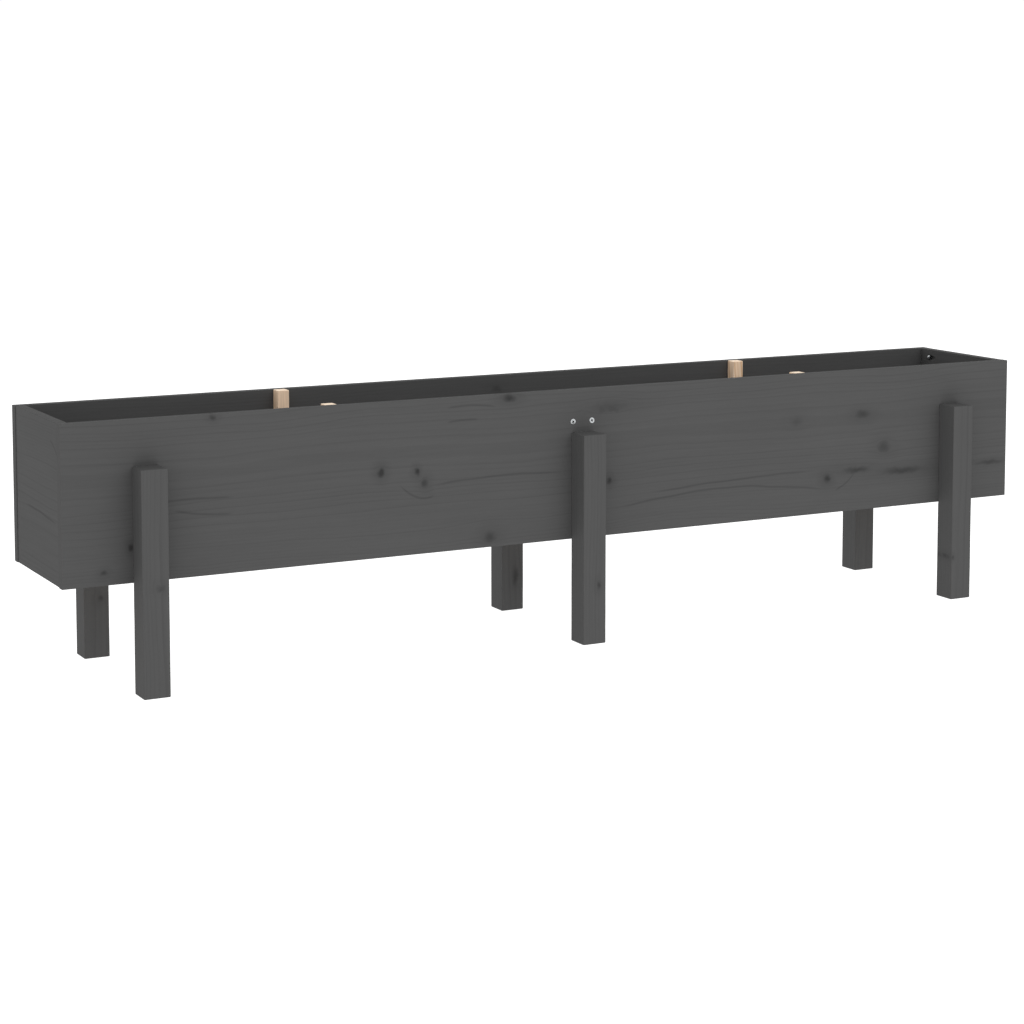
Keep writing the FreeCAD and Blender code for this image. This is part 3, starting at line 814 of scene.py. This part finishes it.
def timber_list():
    """Every timber node with its grain order, arris, look and number of knots."""
    rows = []
    for side in SIDES:
        rows.append((f"long_board_{side}", LONG_BOARD, BOARD_ARRIS, STAINED, 13))
        for column in COLUMNS:
            rows.append((f"leg_{side}_{column}", UPRIGHT, LEG_ARRIS, STAINED, 1))
        for end in ENDS:
            rows.append((f"side_batten_{side}_{end}", UPRIGHT, BOARD_ARRIS, NATURAL, 0))
    for end in ENDS:
        rows.append((f"end_panel_{end}", END_PANEL, BOARD_ARRIS, STAINED, 2))
        rows.append((f"end_ledger_{end}", CROSS_PIECE, BOARD_ARRIS, NATURAL, 1))
    for column in COLUMNS:
        rows.append((f"floor_bearer_{column}", CROSS_PIECE, BOARD_ARRIS, NATURAL, 1))
    for row in ("front", "middle", "rear"):
        rows.append((f"floor_board_{row}", FLOOR_BOARD, BOARD_ARRIS, STAINED, 7))
    rows.append(("cross_tie", CROSS_PIECE, BOARD_ARRIS, STAINED, 1))
    return rows


def make_planter():
    """Make every timber piece and every group of screws."""
    screw_nodes = sorted(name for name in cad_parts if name.endswith("_screws"))
    seats = {name: screw_seats(name) for name in screw_nodes}
    tree = placing_tree()
    zinc = zinc_plating()
    for seed, name in enumerate(screw_nodes, start=1):
        make_screws(name, seats[name], tree, zinc, seed)
    groups = {"knot": knot_group(), "ring": ring_group()}
    for seed, (node, order, arris, look, knot_count) in enumerate(timber_list(), start=11):
        rng = random.Random(seed)
        knots = random_knots(rng, node, order, knot_count)
        finish = pine(node, order, look, KNOTS.get(node, knots), groups, rng)
        make_timber(node, order, arris, seats, finish, rng)


# ---------------------------------------------------------------- stage, light and camera

def make_stage():
    """A plain white floor of opal acrylic, lit evenly from beneath, so that shadows fade in it."""
    geometry = bmesh.new()
    bmesh.ops.create_grid(geometry, x_segments=1, y_segments=1, size=30)
    floor = new_object("floor", mesh_of("floor", geometry))
    material, tree = new_material("opal_acrylic")
    shader = add(tree, "ShaderNodeBsdfPrincipled",
                 {"Base Color": linear("#7f7f7f"), "Roughness": 0.9, "Specular IOR Level": 0.0,
                  "Emission Color": (1.0, 1.0, 1.0, 1.0), "Emission Strength": 1.1})
    add(tree, "ShaderNodeOutputMaterial", {"Surface": shader.outputs[0]})
    floor.data.materials.append(material)


def add_softbox(name, size, power, location):
    """A square softbox aimed at the middle of the planter."""
    lamp = bpy.data.lights.new(name, "AREA")
    lamp.size = size
    lamp.energy = power
    box = new_object(name, lamp)
    box.location = location
    low, high = cad_bounds
    aim = (Vector(low) + Vector(high)) / 2
    box.rotation_euler = (aim - box.location).to_track_quat("-Z", "Y").to_euler()


def make_light():
    """An even white surround, and one large softbox high on the right in front."""
    world = bpy.data.worlds.new("surround")
    bpy.context.scene.world = world
    world.use_nodes = True
    background = world.node_tree.nodes["Background"]
    background.inputs["Color"].default_value = (1.0, 1.0, 1.0, 1.0)
    background.inputs["Strength"].default_value = 1.02
    add_softbox("key", size=3.5, power=42.0, location=(1.0, -3.0, 3.6))
    bpy.context.scene.view_settings.view_transform = "Standard"


def make_camera():
    """Look down a little on the left front corner, from above the rim, through a long lens."""
    lens = bpy.data.cameras.new("camera")
    lens.sensor_width = 36.0
    lens.lens = 83.94
    lens.shift_y = -0.2
    lens.clip_end = 100.0
    camera = new_object("camera", lens)
    camera.location = (-1.7315, -3.1804, 0.8300)
    pitch = 0.0934
    heading = 0.4839
    camera.rotation_euler = (math.pi / 2 - pitch, 0.0, -heading)
    bpy.context.scene.camera = camera


make_camera()
make_light()
make_stage()
make_planter()

bpy.context.view_layer.update()
